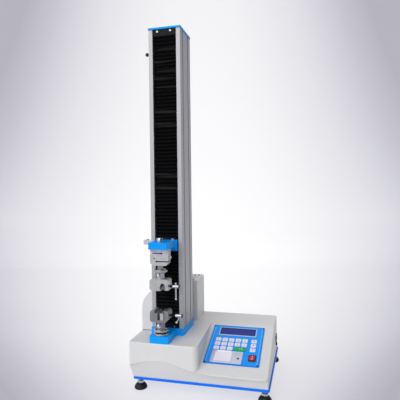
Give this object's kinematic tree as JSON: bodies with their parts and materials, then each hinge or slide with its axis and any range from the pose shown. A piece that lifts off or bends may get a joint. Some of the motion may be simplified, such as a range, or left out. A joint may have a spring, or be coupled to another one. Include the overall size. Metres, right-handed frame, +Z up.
{
  "type": "peel adhesion tester",
  "caption": "Bench-top tensile and peel tester with a single driven column, an S-shaped load cell, a pair of vice grips and a sloping keypad console with a strip printer.",
  "frame": {"origin": "on the bench, under the middle of the whole outline", "axes": "+X to the operator's right, +Y to the back, +Z up along the column"},
  "size_m": [0.455, 0.4029, 1.2],
  "materials": {
    "blue_paint": "satin bright blue",
    "grey_casing": "satin light grey",
    "cover_grey": "satin mid grey",
    "rubber_black": "matte",
    "column_aluminium": "anodised satin",
    "bellows_black": "matte folded sheet",
    "black_steel": "satin black",
    "screw_steel": "turned",
    "grip_steel": "ground",
    "grip_dark_steel": "ground, darker",
    "bright_chrome": "polished",
    "cell_aluminium": "satin",
    "panel_blue": "satin printed sheet on a backing plate",
    "trim_light": "satin",
    "display_blue": "smooth window",
    "key_light": "satin",
    "key_green": "satin",
    "door_white": "satin",
    "plastic_dark": "satin",
    "rocker_red": "gloss",
    "knob_black": "gloss",
    "striker_steel": "bright"
  },
  "bodies": {
    "frame": {"base_plate": "blue_paint", "base_housing": "grey_casing", "control_panel": "panel_blue", "lcd_bezel": "trim_light", "lcd_window": "display_blue", "printer_bezel": "trim_light", "rocker_frame": "plastic_dark", "power_inlet": "plastic_dark", "fuse_holder": "plastic_dark", "plinth": "blue_paint", "column": "column_aluminium", "column_cap": "blue_paint", "bellows_clamps": "black_steel", "bellows_upper": "bellows_black", "bellows_lower": "bellows_black", "rear_cover": "cover_grey", "lower_adapter": "bright_chrome", "lower_grip_body": "grip_dark_steel"},
    "foot_front_left": {"foot_front_left": "rubber_black"},
    "foot_front_right": {"foot_front_right": "rubber_black"},
    "foot_back_left": {"foot_back_left": "rubber_black"},
    "foot_back_right": {"foot_back_right": "rubber_black"},
    "key_11": {"key_11": "key_light"},
    "key_12": {"key_12": "key_light"},
    "key_13": {"key_13": "key_light"},
    "key_14": {"key_14": "key_light"},
    "key_15": {"key_15": "key_light"},
    "key_16": {"key_16": "key_light"},
    "key_21": {"key_21": "key_light"},
    "key_22": {"key_22": "key_light"},
    "key_23": {"key_23": "key_light"},
    "key_24": {"key_24": "key_light"},
    "key_25": {"key_25": "key_light"},
    "key_26": {"key_26": "key_light"},
    "key_31": {"key_31": "key_light"},
    "key_32": {"key_32": "key_light"},
    "key_33": {"key_33": "key_light"},
    "key_wide": {"key_wide": "key_green"},
    "key_36": {"key_36": "key_light"},
    "printer_button": {"printer_button": "plastic_dark"},
    "printer_door": {"printer_door": "door_white"},
    "power_rocker": {"power_rocker": "rocker_red"},
    "lead_screw": {"lead_screw": "screw_steel"},
    "crosshead": {"crosshead": "blue_paint", "crosshead_bolts": "bright_chrome", "striker_arm": "striker_steel", "load_cell": "cell_aluminium", "upper_adapter": "bright_chrome", "upper_grip_body": "grip_steel"},
    "travel_stop": {"travel_stop": "knob_black"},
    "upper_lock_ring": {"upper_lock_ring": "bright_chrome"},
    "lower_lock_ring": {"lower_lock_ring": "bright_chrome"},
    "upper_grip_pin": {"upper_grip_pin": "bright_chrome"},
    "lower_grip_pin": {"lower_grip_pin": "bright_chrome"},
    "upper_jaw": {"upper_jaw": "grip_steel"},
    "upper_clamp_screw": {"upper_clamp_screw": "grip_steel"},
    "lower_jaw": {"lower_jaw": "grip_dark_steel"},
    "lower_clamp_screw": {"lower_clamp_screw": "grip_dark_steel"},
    "upper_tommy_bar": {"upper_tommy_bar": "grip_steel"},
    "lower_tommy_bar": {"lower_tommy_bar": "grip_dark_steel"}
  },
  "joints": [
    {"name": "foot_front_left_level", "type": "slide", "parent": "frame", "child": "foot_front_left", "axis": [0, 0, -1], "range_m": [0, 0.012]},
    {"name": "foot_front_right_level", "type": "slide", "parent": "frame", "child": "foot_front_right", "axis": [0, 0, -1], "range_m": [0, 0.012]},
    {"name": "foot_back_left_level", "type": "slide", "parent": "frame", "child": "foot_back_left", "axis": [0, 0, -1], "range_m": [0, 0.012]},
    {"name": "foot_back_right_level", "type": "slide", "parent": "frame", "child": "foot_back_right", "axis": [0, 0, -1], "range_m": [0, 0.012]},
    {"name": "key_11_press", "type": "slide", "parent": "frame", "child": "key_11", "axis": [0, 0.3074, -0.9516], "range_m": [0, 0.0015], "stiffness_N_per_m": 500, "springref_m": -0.0012},
    {"name": "key_12_press", "type": "slide", "parent": "frame", "child": "key_12", "axis": [0, 0.3074, -0.9516], "range_m": [0, 0.0015], "stiffness_N_per_m": 500, "springref_m": -0.0012},
    {"name": "key_13_press", "type": "slide", "parent": "frame", "child": "key_13", "axis": [0, 0.3074, -0.9516], "range_m": [0, 0.0015], "stiffness_N_per_m": 500, "springref_m": -0.0012},
    {"name": "key_14_press", "type": "slide", "parent": "frame", "child": "key_14", "axis": [0, 0.3074, -0.9516], "range_m": [0, 0.0015], "stiffness_N_per_m": 500, "springref_m": -0.0012},
    {"name": "key_15_press", "type": "slide", "parent": "frame", "child": "key_15", "axis": [0, 0.3074, -0.9516], "range_m": [0, 0.0015], "stiffness_N_per_m": 500, "springref_m": -0.0012},
    {"name": "key_16_press", "type": "slide", "parent": "frame", "child": "key_16", "axis": [0, 0.3074, -0.9516], "range_m": [0, 0.0015], "stiffness_N_per_m": 500, "springref_m": -0.0012},
    {"name": "key_21_press", "type": "slide", "parent": "frame", "child": "key_21", "axis": [0, 0.3074, -0.9516], "range_m": [0, 0.0015], "stiffness_N_per_m": 500, "springref_m": -0.0012},
    {"name": "key_22_press", "type": "slide", "parent": "frame", "child": "key_22", "axis": [0, 0.3074, -0.9516], "range_m": [0, 0.0015], "stiffness_N_per_m": 500, "springref_m": -0.0012},
    {"name": "key_23_press", "type": "slide", "parent": "frame", "child": "key_23", "axis": [0, 0.3074, -0.9516], "range_m": [0, 0.0015], "stiffness_N_per_m": 500, "springref_m": -0.0012},
    {"name": "key_24_press", "type": "slide", "parent": "frame", "child": "key_24", "axis": [0, 0.3074, -0.9516], "range_m": [0, 0.0015], "stiffness_N_per_m": 500, "springref_m": -0.0012},
    {"name": "key_25_press", "type": "slide", "parent": "frame", "child": "key_25", "axis": [0, 0.3074, -0.9516], "range_m": [0, 0.0015], "stiffness_N_per_m": 500, "springref_m": -0.0012},
    {"name": "key_26_press", "type": "slide", "parent": "frame", "child": "key_26", "axis": [0, 0.3074, -0.9516], "range_m": [0, 0.0015], "stiffness_N_per_m": 500, "springref_m": -0.0012},
    {"name": "key_31_press", "type": "slide", "parent": "frame", "child": "key_31", "axis": [0, 0.3074, -0.9516], "range_m": [0, 0.0015], "stiffness_N_per_m": 500, "springref_m": -0.0012},
    {"name": "key_32_press", "type": "slide", "parent": "frame", "child": "key_32", "axis": [0, 0.3074, -0.9516], "range_m": [0, 0.0015], "stiffness_N_per_m": 500, "springref_m": -0.0012},
    {"name": "key_33_press", "type": "slide", "parent": "frame", "child": "key_33", "axis": [0, 0.3074, -0.9516], "range_m": [0, 0.0015], "stiffness_N_per_m": 500, "springref_m": -0.0012},
    {"name": "key_wide_press", "type": "slide", "parent": "frame", "child": "key_wide", "axis": [0, 0.3074, -0.9516], "range_m": [0, 0.0015], "stiffness_N_per_m": 500, "springref_m": -0.0012},
    {"name": "key_36_press", "type": "slide", "parent": "frame", "child": "key_36", "axis": [0, 0.3074, -0.9516], "range_m": [0, 0.0015], "stiffness_N_per_m": 500, "springref_m": -0.0012},
    {"name": "printer_button_press", "type": "slide", "parent": "frame", "child": "printer_button", "axis": [0, 0.3074, -0.9516], "range_m": [0, 0.001], "stiffness_N_per_m": 600, "springref_m": -0.001},
    {"name": "printer_door_hinge", "type": "hinge", "parent": "frame", "child": "printer_door", "pos_m": [0.069, -0.13238, 0.10998], "axis": [1, 0, 0], "range_deg": [0, 95]},
    {"name": "power_rocker_tilt", "type": "hinge", "parent": "frame", "child": "power_rocker", "pos_m": [0.163, -0.10744, 0.11588], "axis": [1, 0, 0], "range_deg": [0, 18]},
    {"name": "lead_screw_spin", "type": "hinge", "parent": "frame", "child": "lead_screw", "pos_m": [-0.1235, -0.0434, 0.6], "axis": [0, 0, 1], "range_deg": [-21601, 1081]},
    {"name": "crosshead_slide", "type": "slide", "parent": "frame", "child": "crosshead", "axis": [0, 0, 1], "range_m": [-0.03, 0.6], "deforming": ["bellows_upper", "bellows_lower"]},
    {"name": "travel_stop_slide", "type": "slide", "parent": "frame", "child": "travel_stop", "axis": [0, 0, 1], "range_m": [-0.025, 0.045]},
    {"name": "upper_lock_ring_turn", "type": "hinge", "parent": "crosshead", "child": "upper_lock_ring", "pos_m": [-0.1235, -0.1594, 0.397], "axis": [0, 0, 1], "range_deg": [0, 90]},
    {"name": "lower_lock_ring_turn", "type": "hinge", "parent": "frame", "child": "lower_lock_ring", "pos_m": [-0.1235, -0.1594, 0.203], "axis": [0, 0, 1], "range_deg": [0, 90]},
    {"name": "upper_grip_pin_pull", "type": "slide", "parent": "crosshead", "child": "upper_grip_pin", "axis": [0, -1, 0], "range_m": [0, 0.032]},
    {"name": "lower_grip_pin_pull", "type": "slide", "parent": "frame", "child": "lower_grip_pin", "axis": [0, -1, 0], "range_m": [0, 0.032]},
    {"name": "upper_jaw_slide", "type": "slide", "parent": "crosshead", "child": "upper_jaw", "axis": [-1, 0, 0], "range_m": [0, 0.0088]},
    {"name": "upper_clamp_screw_spin", "type": "hinge", "parent": "upper_jaw", "child": "upper_clamp_screw", "pos_m": [-0.0925, -0.1594, 0.348], "axis": [-1, 0, 0], "range_deg": [0, 2113]},
    {"name": "lower_jaw_slide", "type": "slide", "parent": "frame", "child": "lower_jaw", "axis": [-1, 0, 0], "range_m": [0, 0.0091]},
    {"name": "lower_clamp_screw_spin", "type": "hinge", "parent": "lower_jaw", "child": "lower_clamp_screw", "pos_m": [-0.0925, -0.1594, 0.2545], "axis": [-1, 0, 0], "range_deg": [0, 2185]},
    {"name": "upper_tommy_bar_slide", "type": "slide", "parent": "upper_clamp_screw", "child": "upper_tommy_bar", "axis": [0, 0, 1], "range_m": [0, 0.0314]},
    {"name": "lower_tommy_bar_slide", "type": "slide", "parent": "lower_clamp_screw", "child": "lower_tommy_bar", "axis": [0, -0.9703, -0.2419], "range_m": [-0.0292, 0.0022]}
  ],
  "couplings": [
    {"joint": "lead_screw_spin", "follows": "crosshead_slide", "rad_per_m": -628.32},
    {"joint": "upper_clamp_screw_spin", "follows": "upper_jaw_slide", "rad_per_m": 4188.8},
    {"joint": "lower_clamp_screw_spin", "follows": "lower_jaw_slide", "rad_per_m": 4188.8}
  ]
}
